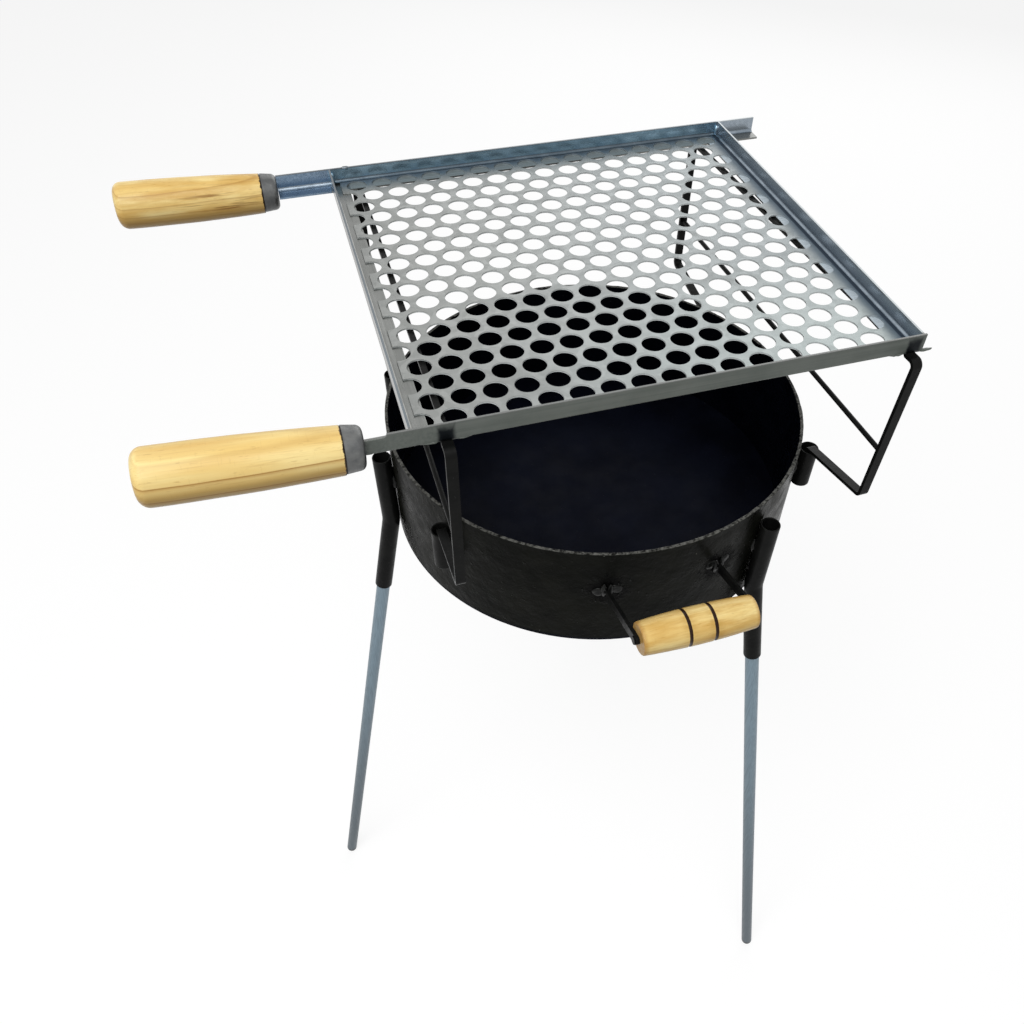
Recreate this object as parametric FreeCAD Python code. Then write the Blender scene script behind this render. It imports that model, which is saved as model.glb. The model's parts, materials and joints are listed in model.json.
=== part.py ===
import FreeCAD, Part
import math
import os
from FreeCAD import Placement, Rotation, Vector

# Sizes in millimetres. The pan's axis is the working origin, the ground is at Z = 0,
# the grill's handles point to -X and the carry handle to -Y.

# Charcoal pan, a ring of steel on a flat plate
pan_radius = 180.0
pan_depth = 106.0
pan_wall_thickness = 2.7
pan_floor_thickness = 2.7
rim_height = 729.0

# Tube stock of the leg sockets and rack tubes
tube_radius = 7.94
tube_wall = 1.2
weld_gap = 0.15
bead_radius = 2.8
bead_length = 16.0
bead_reach = 5.7

# Leg sockets, bent outwards below the pan's middle
leg_angles = {"left": 180.0, "front_right": -60.0, "back_right": 60.0}
socket_top_drop = 20.0
socket_bend_drop = 94.0
socket_bend_radius = 40.0
socket_lower_length = 88.0
socket_bead_drop = 46.0

# Legs, straight tubes with a domed foot that is worn flat where it stands
foot_circle_radius = 318.0
leg_radius = 6.35
leg_wall = 1.0
leg_insertion = 80.0
foot_flat = 0.4

# Racks, flat bar bent into an arch with a hook at each end
rack_tube_angles = {
    "left": {"front": 32.4, "back": 32.4},
    "right": {"front": 30.5, "back": 34.2},
}
rack_bar_width = 7.5
rack_bar_thickness = 3.0
rack_bend_radius = 4.5
rack_overhangs = {"front": 9.5, "back": 0.5}
rack_low_bend_rise = 1.5
rack_rod_rise = 48.0
rack_rod_radius = 2.0
rack_tube_drop = 14.0
rack_tube_length = 38.0
hook_depth = 34.0
hook_seat_gap = 0.4

# Carry handle on the front of the pan
carry_half_span = 47.0
carry_arm_width = 7.5
carry_arm_thickness = 3.0
carry_root_drop = 42.0
carry_reach = 235.0
carry_rod_drop = 25.0
carry_rod_radius = 2.5
carry_head_radius = 3.4
carry_head_thickness = 1.0
grip_end_radius = 12.6
grip_middle_radius = 14.4
grip_end_gap = 0.4
grip_ring_spacing = 20.0
grip_ring_width = 2.0
grip_ring_depth = 0.6
running_clearance = 0.05

# Grill frame, folded angle bars round a perforated sheet
grill_rise = 128.0
grill_width = 355.0
grill_depth = 343.0
grill_offset = -2.5
grill_setback = 10.0
angle_thickness = 1.5
angle_fold_radius = 2.0
upstand_height = 14.0
flange_width = 14.0
stub_lengths = {"front": 1.5, "back": 34.5}
neck_lengths = {"front": 27.2, "back": 43.5}
neck_trim_lengths = {"front": 14.0, "back": 0.0}
neck_trim_depth = 2.5

# Perforated sheet with staggered holes, cut through its holes on the handle side
sheet_thickness = 1.2
sheet_clearance = 0.1
sheet_left_gap = 6.0
hole_radius = 8.4
hole_pitch = 21.24
hole_sides = 10
edge_cut = 2.5
front_margin = 17.1
least_margin = 1.0

# Wooden grill handles with metal ferrules, tilted up a little
handle_axis_inset = 4.0
handle_axis_rises = {"front": 5.0, "back": 2.9}
handle_tilts = {"front": 3.7, "back": 2.2}
ferrule_radius = 15.2
ferrule_wall = 1.2
ferrule_length = 14.0
ferrule_shoulder = 4.0
tenon_clearance = 0.1
tang_height = 8.0
tang_rise = 5.0
tang_depth = 45.0
tang_root = 4.0
handle_length = 115.0
handle_near_radius = 15.6
handle_middle_radius = 18.1
handle_far_radius = 18.7
handle_end_round = 8.0

# Places that follow from the sizes above
pan_bottom = rim_height - pan_depth
tube_centre_radius = pan_radius + weld_gap + tube_radius
rack_tube_top = rim_height - rack_tube_drop
hook_seat_reach = math.sqrt((tube_radius - tube_wall)**2 - (rack_bar_width / 2)**2)
frame_bottom = rim_height + grill_rise
sheet_bottom = frame_bottom + angle_thickness
sheet_gap = angle_fold_radius - angle_thickness + sheet_clearance
grill_left = grill_offset - grill_width / 2
grill_right = grill_offset + grill_width / 2
grill_front = grill_setback - grill_depth / 2
grill_back = grill_setback + grill_depth / 2
carry_rod_z = rim_height - carry_rod_drop
arm_inner_x = carry_half_span - carry_arm_thickness / 2
arm_outer_x = carry_half_span + carry_arm_thickness / 2
UP = Vector(0, 0, 1)
ALONG_X = Vector(1, 0, 0)
SIDES = {"front": -1, "back": 1}
ENDS = {"left": -1, "right": 1}


def handle_reach(name):
    """How far a handle's end lies from the frame's left side."""
    tilt = math.radians(handle_tilts[name])
    along = (ferrule_length + handle_length) * math.cos(tilt)
    return neck_lengths[name] + along + (handle_far_radius - handle_end_round) * math.sin(tilt)


def centre_shift():
    """Moves the pan's axis so that the middle of the overall width is at X = 0."""
    left_end = grill_left - max(handle_reach(name) for name in SIDES)
    right_end = grill_right + max(stub_lengths.values())
    return Vector(-(left_end + right_end) / 2, 0, 0)


def bent_path(corners, radius):
    """A wire of straight runs joined by tangent arcs."""
    edges = []
    start = corners[0]
    for before, corner, after in zip(corners, corners[1:], corners[2:]):
        into = (before - corner).normalize()
        out = (after - corner).normalize()
        half_angle = into.getAngle(out) / 2
        tangent = radius / math.tan(half_angle)
        middle = radius / math.sin(half_angle) - radius
        arc_start = corner + into * tangent
        arc_end = corner + out * tangent
        arc_middle = corner + (into + out).normalize() * middle
        edges.append(Part.LineSegment(start, arc_start).toShape())
        edges.append(Part.Arc(arc_start, arc_middle, arc_end).toShape())
        start = arc_end
    edges.append(Part.LineSegment(start, corners[-1]).toShape())
    return Part.Wire(edges)


def sweep(path, profile):
    return path.makePipeShell([profile], True, False)


def circle_wire(radius, centre, normal):
    return Part.Wire(Part.makeCircle(radius, centre, normal))


def about_axis(shape, degrees):
    return shape.rotated(Vector(0, 0, 0), UP, degrees)


def revolved(edges, axis):
    """A solid turned from a closed profile about a line through the origin."""
    face = Part.Face(Part.Wire(Part.__sortEdges__(edges)))
    return face.revolve(Vector(0, 0, 0), axis, 360)


def polyline(points):
    return [Part.LineSegment(a, b).toShape() for a, b in zip(points, points[1:])]


def pan_wall():
    height = pan_depth - pan_floor_thickness
    base = Vector(0, 0, pan_bottom + pan_floor_thickness)
    outside = Part.makeCylinder(pan_radius, height, base)
    inside = Part.makeCylinder(pan_radius - pan_wall_thickness, height, base)
    return outside.cut(inside)


def pan_floor():
    return Part.makeCylinder(pan_radius, pan_floor_thickness, Vector(0, 0, pan_bottom))


def leg_tilt():
    """The leg's lean from the vertical, in radians."""
    run = foot_circle_radius - tube_centre_radius
    drop = rim_height - socket_bend_drop - leg_radius + foot_flat
    return math.atan2(run, drop)


def leg_direction():
    return Vector(math.sin(leg_tilt()), 0, -math.cos(leg_tilt()))


def socket_corners():
    top = Vector(tube_centre_radius, 0, rim_height - socket_top_drop)
    bend = Vector(tube_centre_radius, 0, rim_height - socket_bend_drop)
    return [top, bend, bend + leg_direction() * socket_lower_length]


def leg_socket(degrees):
    corners = socket_corners()
    path = bent_path(corners, socket_bend_radius)
    outside = sweep(path, circle_wire(tube_radius, corners[0], UP))
    inside = sweep(path, circle_wire(tube_radius - tube_wall, corners[0], UP))
    return about_axis(outside.cut(inside), degrees)


def leg(degrees):
    """A straight tube, open at the top, drawn along +X and then set in its socket."""
    lower_end = socket_corners()[2]
    top = lower_end - leg_direction() * leg_insertion
    foot_centre_z = leg_radius - foot_flat
    length = (top.z - foot_centre_z) / math.cos(leg_tilt())
    bore = leg_radius - leg_wall
    half = math.sqrt(0.5)
    dome_start = Vector(length, 0, leg_radius)
    dome_middle = Vector(length + leg_radius * half, 0, leg_radius * half)
    dome_end = Vector(length + leg_radius, 0, 0)
    edges = polyline([
        dome_end,
        Vector(length, 0, 0),
        Vector(length, 0, bore),
        Vector(0, 0, bore),
        Vector(0, 0, leg_radius),
        dome_start,
    ])
    edges.append(Part.Arc(dome_start, dome_middle, dome_end).toShape())
    tube = revolved(edges, ALONG_X)
    tube.Placement = Placement(top, Rotation(ALONG_X, leg_direction()))
    ground = Part.makeBox(4 * leg_radius, 4 * leg_radius, 2 * leg_radius)
    ground.translate(Vector(foot_circle_radius - 2 * leg_radius, -2 * leg_radius, -2 * leg_radius))
    return about_axis(tube.cut(ground), degrees)


def rack_tube_centre(end, side):
    """Axis of a rack tube, which stands on the wall at its own angle from the X axis."""
    angle = math.radians(rack_tube_angles[end][side])
    return Vector(ENDS[end] * math.cos(angle), SIDES[side] * math.sin(angle), 0) * tube_centre_radius


def rack_tube(end, side):
    base = rack_tube_centre(end, side) + UP * (rack_tube_top - rack_tube_length)
    outside = Part.makeCylinder(tube_radius, rack_tube_length, base)
    return outside.cut(Part.makeCylinder(tube_radius - tube_wall, rack_tube_length, base))


def on_rack_line(shape, end):
    """Sets a shape drawn along Y on the line through the two tubes of one end."""
    front, back = (rack_tube_centre(end, side) for side in SIDES)
    turn = math.atan2(front.x - back.x, back.y - front.y)
    shape.rotate(Vector(0, 0, 0), UP, math.degrees(turn))
    shape.translate((front + back) * 0.5)
    return shape


def rack_places(end):
    """Y of a rack's two hooks and of its two uprights, from the middle between its tubes."""
    front, back = (rack_tube_centre(end, side) for side in SIDES)
    middle = (front.y + back.y) / 2
    hooks = {side: sign * (back - front).Length / 2 for side, sign in SIDES.items()}
    uprights = {
        "front": grill_front - rack_overhangs["front"] - middle,
        "back": grill_back + rack_overhangs["back"] - middle,
    }
    return hooks, uprights


def rack(end):
    """One arch: hook, arm, upright, run under the grill and the same again at the back."""
    hooks, uprights = rack_places(end)
    seat_z = rack_tube_top + hook_seat_gap + rack_bar_thickness / 2
    low_z = rim_height + rack_low_bend_rise
    run_z = frame_bottom - rack_bar_thickness / 2
    corners = []
    for side, sign in SIDES.items():
        reach = sign * hook_seat_reach
        slope = (low_z - seat_z) / (uprights[side] - hooks[side] - reach)
        half = [
            Vector(0, hooks[side], rack_tube_top - hook_depth),
            Vector(0, hooks[side], seat_z - slope * reach),
            Vector(0, uprights[side], low_z),
            Vector(0, uprights[side], run_z),
        ]
        corners += half[::-sign]
    path = bent_path(corners, rack_bend_radius)
    profile = Part.makePlane(rack_bar_width, rack_bar_thickness)
    profile.translate(corners[0] - Vector(rack_bar_width / 2, rack_bar_thickness / 2, 0))
    return on_rack_line(sweep(path, profile.OuterWire), end)


def rack_rod(end):
    uprights = rack_places(end)[1]
    length = uprights["back"] - uprights["front"] - rack_bar_thickness
    base = Vector(0, uprights["front"] + rack_bar_thickness / 2, rim_height + rack_rod_rise)
    return on_rack_line(Part.makeCylinder(rack_rod_radius, length, base, Vector(0, 1, 0)), end)


def carry_arm(end):
    """Flat bar from the wall to the rod, with a round end and the rod's hole."""
    rod = Vector(0, -carry_reach, carry_rod_z)
    root = Vector(0, -pan_radius + pan_wall_thickness, rim_height - carry_root_drop)
    along = (root - rod).normalize()
    across = ALONG_X.cross(along) * (carry_arm_width / 2)
    round_end = Part.Arc(rod + across, rod - along * (carry_arm_width / 2), rod - across).toShape()
    edges = [round_end] + polyline([rod - across, root - across, root + across, rod + across])
    bar = Part.Face(Part.Wire(edges)).extrude(ALONG_X * carry_arm_thickness)
    bar = bar.cut(Part.makeCylinder(carry_rod_radius + running_clearance, carry_arm_thickness, rod, ALONG_X))
    bar.translate(ALONG_X * (end * carry_half_span - carry_arm_thickness / 2))
    return bar.cut(Part.makeCylinder(pan_radius + weld_gap, pan_depth, Vector(0, 0, pan_bottom)))


def carry_rod():
    centre = Vector(0, -carry_reach, carry_rod_z)
    rod = Part.makeCylinder(carry_rod_radius, 2 * arm_outer_x, centre - ALONG_X * arm_outer_x, ALONG_X)
    for end in ENDS.values():
        face = centre + ALONG_X * (end * arm_outer_x)
        rod = rod.fuse(Part.makeCylinder(carry_head_radius, carry_head_thickness, face, ALONG_X * end))
    return rod.removeSplitter()


def carry_grip():
    """Barrel-shaped grip with two turned rings, bored for the rod."""
    half = arm_inner_x - grip_end_gap
    ends = Vector(-half, 0, grip_end_radius), Vector(half, 0, grip_end_radius)
    edges = [Part.Arc(ends[0], Vector(0, 0, grip_middle_radius), ends[1]).toShape()]
    edges += polyline([ends[1], Vector(half, 0, 0), Vector(-half, 0, 0), ends[0]])
    grip = revolved(edges, ALONG_X)
    bore = carry_rod_radius + running_clearance
    grip = grip.cut(Part.makeCylinder(bore, 2 * half, Vector(-half, 0, 0), ALONG_X))
    for end in ENDS.values():
        start = Vector(end * grip_ring_spacing / 2 - grip_ring_width / 2, 0, 0)
        ring = Part.makeCylinder(grip_middle_radius + grip_ring_depth, grip_ring_width, start, ALONG_X)
        core = Part.makeCylinder(grip_middle_radius - grip_ring_depth, grip_ring_width, start, ALONG_X)
        grip = grip.cut(ring.cut(core))
    grip.translate(Vector(0, -carry_reach, carry_rod_z))
    return grip


def angle_section(height, width):
    """Folded angle section in the YZ plane: upstand at Y = 0, flange towards +Y."""
    half = math.sqrt(0.5)
    inner_fold = angle_fold_radius - angle_thickness
    fold_centre = Vector(0, angle_fold_radius, angle_fold_radius)
    corner = Vector(0, -half, -half)
    edges = polyline([
        Vector(0, angle_thickness, angle_fold_radius),
        Vector(0, angle_thickness, height),
        Vector(0, 0, height),
        Vector(0, 0, angle_fold_radius),
    ])
    edges.append(Part.Arc(
        Vector(0, 0, angle_fold_radius),
        fold_centre + corner * angle_fold_radius,
        Vector(0, angle_fold_radius, 0),
    ).toShape())
    edges += polyline([
        Vector(0, angle_fold_radius, 0),
        Vector(0, width, 0),
        Vector(0, width, angle_thickness),
        Vector(0, angle_fold_radius, angle_thickness),
    ])
    edges.append(Part.Arc(
        Vector(0, angle_fold_radius, angle_thickness),
        fold_centre + corner * inner_fold,
        Vector(0, angle_thickness, angle_fold_radius),
    ).toShape())
    return Part.Face(Part.Wire(edges))


def neck_notch(length):
    """What is cut from a neck's top edge beside the ferrule, with a round inner corner."""
    half = math.sqrt(0.5)
    low = upstand_height - neck_trim_depth
    round_start = Vector(length - neck_trim_depth, 0, low)
    round_middle = round_start + Vector(neck_trim_depth * half, 0, neck_trim_depth * (1 - half))
    round_end = Vector(length, 0, upstand_height)
    edges = polyline([round_end, Vector(0, 0, upstand_height), Vector(0, 0, low), round_start])
    edges.append(Part.Arc(round_start, round_middle, round_end).toShape())
    return Part.Face(Part.Wire(edges)).extrude(Vector(0, angle_thickness, 0))


def long_bar(name):
    """Front or back bar, with its neck, the tang in the handle and a stub on the far side."""
    neck_end = grill_left - neck_lengths[name]
    bar_length = grill_right + stub_lengths[name] - neck_end
    bar = angle_section(upstand_height, flange_width).extrude(ALONG_X * bar_length)
    if neck_trim_lengths[name] > 0:
        bar = bar.cut(neck_notch(neck_trim_lengths[name]))
    tang_length = ferrule_length + tang_depth
    tang = Part.makeBox(tang_length + tang_root, angle_thickness, tang_height)
    tang.translate(Vector(-tang_length, 0, -tang_height / 2))
    tang.rotate(Vector(0, 0, 0), Vector(0, 1, 0), handle_tilts[name])
    tang.translate(UP * tang_rise)
    bar = bar.fuse(tang).removeSplitter()
    bar.translate(Vector(neck_end, grill_front, frame_bottom))
    if name == "back":
        bar = bar.mirror(Vector(0, grill_setback, 0), Vector(0, 1, 0))
    return bar


def side_bar(name, long_bars):
    """Left or right bar: its flange ends at the long bars' flanges, its upstand stands on them."""
    length = grill_depth - 2 * angle_thickness
    bar = angle_section(upstand_height, flange_width).extrude(ALONG_X * length)
    cope_length = flange_width - angle_thickness
    near_cope = Part.makeBox(cope_length, flange_width, angle_thickness)
    far_cope = near_cope.translated(ALONG_X * (length - cope_length))
    bar = bar.cut([near_cope, far_cope])
    bar.translate(Vector(-length / 2, 0, frame_bottom))
    bar = about_axis(bar, -90)
    bar.translate(Vector(grill_left, grill_setback, 0))
    if name == "right":
        bar = bar.mirror(Vector(grill_offset, 0, 0), ALONG_X)
    return bar.cut(long_bars)


def polygon_wire(x, y):
    turn = 2 * math.pi / hole_sides
    corners = [
        Vector(x + hole_radius * math.cos(i * turn), y + hole_radius * math.sin(i * turn), sheet_bottom)
        for i in range(hole_sides)
    ]
    return Part.makePolygon(corners + corners[:1])


def hole_columns(row, first, right):
    """X of each hole in a row; every other row is set half a pitch to the right."""
    x = first + (row % 2) * hole_pitch / 2
    while x + hole_radius <= right - least_margin:
        yield x
        x += hole_pitch


def grill_sheet():
    left = grill_left + angle_thickness + sheet_left_gap
    right = grill_right - angle_thickness - sheet_gap
    front = grill_front + angle_thickness + sheet_gap
    back = grill_back - angle_thickness - sheet_gap
    outline = Part.makePlane(right - left, back - front, Vector(left, front, sheet_bottom)).OuterWire
    whole_holes = []
    cut_holes = []
    row_pitch = hole_pitch * math.sqrt(0.75)
    y = grill_front + angle_thickness + front_margin
    row = 0
    while y + hole_radius <= back - least_margin:
        for x in hole_columns(row, left + edge_cut, right):
            breaks_edge = x - hole_radius < left
            (cut_holes if breaks_edge else whole_holes).append(polygon_wire(x, y))
        y += row_pitch
        row += 1
    face = Part.makeFace([outline] + whole_holes, "Part::FaceMakerBullseye")
    notches = [Part.Face(wire) for wire in cut_holes]
    if notches:
        face = face.cut(Part.makeCompound(notches)).Faces[0]
    return face.extrude(UP * sheet_thickness)


def on_handle(shape, name):
    """Sets a shape drawn along -X from the ferrule's face on its handle's tilted axis."""
    axis_y = grill_setback + SIDES[name] * (grill_depth / 2 - handle_axis_inset)
    shape.rotate(Vector(0, 0, 0), Vector(0, 1, 0), handle_tilts[name])
    shape.translate(Vector(grill_left - neck_lengths[name], axis_y, frame_bottom + handle_axis_rises[name]))
    return shape


def ferrule(name, bar):
    half = math.sqrt(0.5)
    inner = ferrule_radius - ferrule_wall
    round_start = Vector(0, 0, ferrule_radius - ferrule_shoulder)
    round_end = Vector(-ferrule_shoulder, 0, ferrule_radius)
    round_middle = round_start + Vector(-ferrule_shoulder * (1 - half), 0, ferrule_shoulder * half)
    edges = [Part.Arc(round_start, round_middle, round_end).toShape()]
    edges += polyline([
        round_end,
        Vector(-ferrule_length, 0, ferrule_radius),
        Vector(-ferrule_length, 0, inner),
        Vector(-ferrule_shoulder, 0, inner),
        Vector(-ferrule_wall, 0, ferrule_radius - ferrule_shoulder),
        Vector(-ferrule_wall, 0, 0),
        Vector(0, 0, 0),
        round_start,
    ])
    return on_handle(revolved(edges, ALONG_X), name).cut(bar)


def handle(name, bar):
    """Swelling handle with a tenon in the ferrule and a slot for the tang."""
    half = math.sqrt(0.5)
    tenon = ferrule_radius - ferrule_wall - tenon_clearance
    far = -ferrule_length - handle_length
    round_start = Vector(far + handle_end_round, 0, handle_far_radius)
    round_end = Vector(far, 0, handle_far_radius - handle_end_round)
    round_middle = round_start + Vector(-handle_end_round * half, 0, -handle_end_round * (1 - half))
    edges = [Part.Arc(round_start, round_middle, round_end).toShape()]
    edges += polyline([
        round_end,
        Vector(far, 0, 0),
        Vector(-ferrule_shoulder, 0, 0),
        Vector(-ferrule_shoulder, 0, tenon),
        Vector(-ferrule_length, 0, tenon),
        Vector(-ferrule_length, 0, handle_near_radius),
    ])
    swell = Vector(-ferrule_length - handle_length / 2, 0, handle_middle_radius)
    edges.append(Part.Arc(edges[-1].Vertexes[-1].Point, swell, round_start).toShape())
    return on_handle(revolved(edges, ALONG_X), name).cut(bar)


def bead(x, y, z, carriers):
    """A weld bead along Z that fills the groove between the pieces it joins."""
    whole = Part.makeCylinder(bead_radius, bead_length, Vector(x, y, z - bead_length / 2))
    return whole.cut(carriers)


def pan_welds():
    """Beads on both sides of every socket, rack tube and carry arm."""
    height = 2 * rim_height
    pan = Part.makeCylinder(pan_radius, height)
    beads = []
    groove_radius = pan_radius + bead_radius / 3
    tube_groove = math.degrees(bead_reach / pan_radius)
    tubes = [(degrees, rim_height - socket_bead_drop) for degrees in leg_angles.values()]
    for end in ENDS:
        for side in SIDES:
            centre = rack_tube_centre(end, side)
            degrees = math.degrees(math.atan2(centre.y, centre.x))
            tubes.append((degrees, rack_tube_top - rack_tube_length / 2))
    tube = Part.makeCylinder(tube_radius, height, Vector(tube_centre_radius, 0, 0))
    for degrees, z in tubes:
        for turn in (tube_groove, -tube_groove):
            angle = math.radians(turn)
            piece = bead(groove_radius * math.cos(angle), groove_radius * math.sin(angle), z, [pan, tube])
            beads.append(about_axis(piece, degrees))
    root_z = rim_height - carry_root_drop
    for end in ENDS.values():
        arm = carry_arm(end)
        for edge in (-1, 1):
            x = end * carry_half_span + edge * (carry_arm_thickness / 2 + bead_radius / 3)
            beads.append(bead(x, -math.sqrt(groove_radius**2 - x**2), root_z, [pan, arm]))
    return Part.makeCompound(beads)


def build():
    nodes = {"pan_wall": pan_wall(), "pan_floor": pan_floor(), "pan_welds": pan_welds()}
    for name, degrees in leg_angles.items():
        nodes["leg_socket_" + name] = leg_socket(degrees)
        nodes["leg_" + name] = leg(degrees)
    for end_name, end in ENDS.items():
        for side_name in SIDES:
            nodes["rack_tube_" + side_name + "_" + end_name] = rack_tube(end_name, side_name)
        nodes["rack_" + end_name] = rack(end_name)
        nodes["rack_rod_" + end_name] = rack_rod(end_name)
        nodes["carry_arm_" + end_name] = carry_arm(end)
    nodes["carry_rod"] = carry_rod()
    nodes["carry_grip"] = carry_grip()
    long_bars = {name: long_bar(name) for name in SIDES}
    for name, bar in long_bars.items():
        nodes["grill_bar_" + name] = bar
        nodes["handle_ferrule_" + name] = ferrule(name, bar)
        nodes["handle_" + name] = handle(name, bar)
    for name in ENDS:
        nodes["grill_bar_" + name] = side_bar(name, list(long_bars.values()))
    nodes["grill_sheet"] = grill_sheet()
    return nodes


os.makedirs("parts", exist_ok=True)
for node_name, shape in build().items():
    shape.translate(centre_shift())
    shape.exportStep("parts/" + node_name + ".step")
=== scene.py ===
import json
import math
import random
import bpy
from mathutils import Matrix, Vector


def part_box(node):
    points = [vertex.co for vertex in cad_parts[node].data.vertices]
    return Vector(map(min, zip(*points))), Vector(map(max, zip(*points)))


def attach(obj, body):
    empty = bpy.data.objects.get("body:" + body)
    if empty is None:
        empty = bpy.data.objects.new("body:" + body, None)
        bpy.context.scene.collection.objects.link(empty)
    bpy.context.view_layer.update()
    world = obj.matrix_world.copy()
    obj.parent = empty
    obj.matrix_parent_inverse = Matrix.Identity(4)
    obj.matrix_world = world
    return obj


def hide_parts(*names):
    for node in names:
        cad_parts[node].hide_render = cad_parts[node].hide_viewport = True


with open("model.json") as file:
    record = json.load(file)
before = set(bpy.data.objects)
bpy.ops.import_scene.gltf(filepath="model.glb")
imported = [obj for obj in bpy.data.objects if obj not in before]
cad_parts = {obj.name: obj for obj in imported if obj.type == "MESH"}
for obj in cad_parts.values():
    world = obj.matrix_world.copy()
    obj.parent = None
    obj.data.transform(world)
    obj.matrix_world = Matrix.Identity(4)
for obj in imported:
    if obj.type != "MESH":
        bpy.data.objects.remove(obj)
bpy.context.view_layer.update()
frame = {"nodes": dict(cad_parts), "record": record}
nodes = frame["nodes"]
record = frame["record"]
bodyOf = {node: body for body, members in record["behaviour"]["bodies"].items() for node in members}
slotOf = {part["node"]: part["material_slot"] for part in record["subparts"]}
mm = 0.001

# places read from the frame
panLow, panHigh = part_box("pan_wall")
panX = (panLow.x + panHigh.x) / 2
panRadius = (panHigh.x - panLow.x) / 2
rimZ = panHigh.z
sheetLow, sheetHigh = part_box("grill_sheet")
frontBarLow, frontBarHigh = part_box("grill_bar_front")
backBarLow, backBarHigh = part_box("grill_bar_back")
leftBarLow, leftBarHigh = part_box("grill_bar_left")
gripLow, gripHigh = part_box("carry_grip")
gripMiddle = (gripLow + gripHigh) / 2
sides = ("front", "back")
ends = ("left", "right")
rackBar = 7.5 * mm
rackLean = {"left": 1.2 * mm, "right": 4.0 * mm}  # how far the front uprights lean to the right at the top
print("frame loaded, pan radius", round(panRadius, 4))


# node helpers
def feed(tree, socket, value):
    if isinstance(value, bpy.types.NodeSocket):
        tree.links.new(value, socket)
    else:
        socket.default_value = value


def put(tree, kind, sockets=None, **settings):
    node = tree.nodes.new(kind)
    for key, value in settings.items():
        setattr(node, key, value)
    for key, value in (sockets or {}).items():
        feed(tree, node.inputs[key], value)
    return node


def maths(tree, operation, first, second=0.0):
    return put(tree, "ShaderNodeMath", {0: first, 1: second}, operation=operation).outputs[0]


def vectorMaths(tree, operation, first, second):
    node = put(tree, "ShaderNodeVectorMath", {0: first, 1: second}, operation=operation)
    return node.outputs["Value"] if operation in ("LENGTH", "DISTANCE") else node.outputs[0]


def times(tree, first, second):
    return maths(tree, "MULTIPLY", first, second)


def strongest(tree, masks):
    result = masks[0]
    for mask in masks[1:]:
        result = maths(tree, "MAXIMUM", result, mask)
    return result


def total(tree, *parts):  # each part is a value and its weight
    result = None
    for value, weight in parts:
        share = times(tree, value, weight)
        result = share if result is None else maths(tree, "ADD", result, share)
    return result


def blend(tree, factor, first, second):
    places = {0: factor, 6: first, 7: second}  # the colour sockets of a mix node
    return put(tree, "ShaderNodeMix", places, data_type="RGBA").outputs[2]


def rescale(tree, value, fromLow, fromHigh, toLow=0.0, toHigh=1.0):
    places = {"Value": value, "From Min": fromLow, "From Max": fromHigh, "To Min": toLow, "To Max": toHigh}
    return put(tree, "ShaderNodeMapRange", places, interpolation_type="SMOOTHSTEP").outputs[0]


def noise(tree, vector, scale, detail=2.0, rough=0.5):
    places = {"Vector": vector, "Scale": scale, "Detail": detail, "Roughness": rough}
    return put(tree, "ShaderNodeTexNoise", places).outputs[0]


def stretch(tree, vector, scale, shift=(0, 0, 0)):
    return put(tree, "ShaderNodeMapping", {"Vector": vector, "Scale": scale, "Location": shift}).outputs[0]


def split(tree, vector):
    return put(tree, "ShaderNodeSeparateXYZ", {0: vector}).outputs


def awayFromPan(tree, flat):  # distance from the pan's axis
    across = put(tree, "ShaderNodeCombineXYZ", {0: maths(tree, "SUBTRACT", flat[0], panX), 1: flat[1]}).outputs[0]
    return vectorMaths(tree, "LENGTH", across, (0, 0, 0))


def colour(red, green, blue):
    return (red, green, blue, 1.0)


def startMaterial(name, metallic, specular=0.5, coat=0.0, coatRoughness=0.1):
    material = bpy.data.materials.new(name)
    material.use_nodes = True
    tree = material.node_tree
    shader = tree.nodes["Principled BSDF"]
    constants = {"Metallic": metallic, "Specular IOR Level": specular,
                 "Coat Weight": coat, "Coat Roughness": coatRoughness}
    for key, value in constants.items():
        shader.inputs[key].default_value = value
    where = put(tree, "ShaderNodeTexCoord").outputs["Object"]
    return material, tree, shader, where


def dress(tree, shader, base, rough, height, depth):
    feed(tree, shader.inputs["Base Color"], base)
    feed(tree, shader.inputs["Roughness"], rough)
    bump = put(tree, "ShaderNodeBump", {"Height": height, "Distance": depth})
    feed(tree, shader.inputs["Normal"], bump.outputs[0])


def seenDirectly(tree):
    light = put(tree, "ShaderNodeLightPath").outputs
    return strongest(tree, [light["Is Camera Ray"], light["Is Glossy Ray"], light["Is Transmission Ray"]])


# shared effects as node groups
def startGroup(name, inputs, outputs):
    group = bpy.data.node_groups.new(name, "ShaderNodeTree")
    for socketName, kind, value in [("Vector", "Vector", None)] + inputs:
        socket = group.interface.new_socket(socketName, in_out="INPUT", socket_type="NodeSocket" + kind)
        if value is not None:
            socket.default_value = value
    for socketName in outputs:
        group.interface.new_socket(socketName, in_out="OUTPUT", socket_type="NodeSocketFloat")
    return group, group.nodes.new("NodeGroupInput").outputs, group.nodes.new("NodeGroupOutput").inputs


def use(tree, group, **sockets):
    return put(tree, "ShaderNodeGroup", sockets, node_tree=group).outputs


def makeMottle():
    group, given, result = startGroup(
        "mottle",
        [("Scale", "Float", 50.0), ("Low", "Float", 0.0), ("High", "Float", 1.0)],
        ["Value"])
    cloud = noise(group, given["Vector"], given["Scale"], 4.0, 0.6)
    feed(group, result["Value"], rescale(group, cloud, 0.3, 0.7, given["Low"], given["High"]))
    return group


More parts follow.
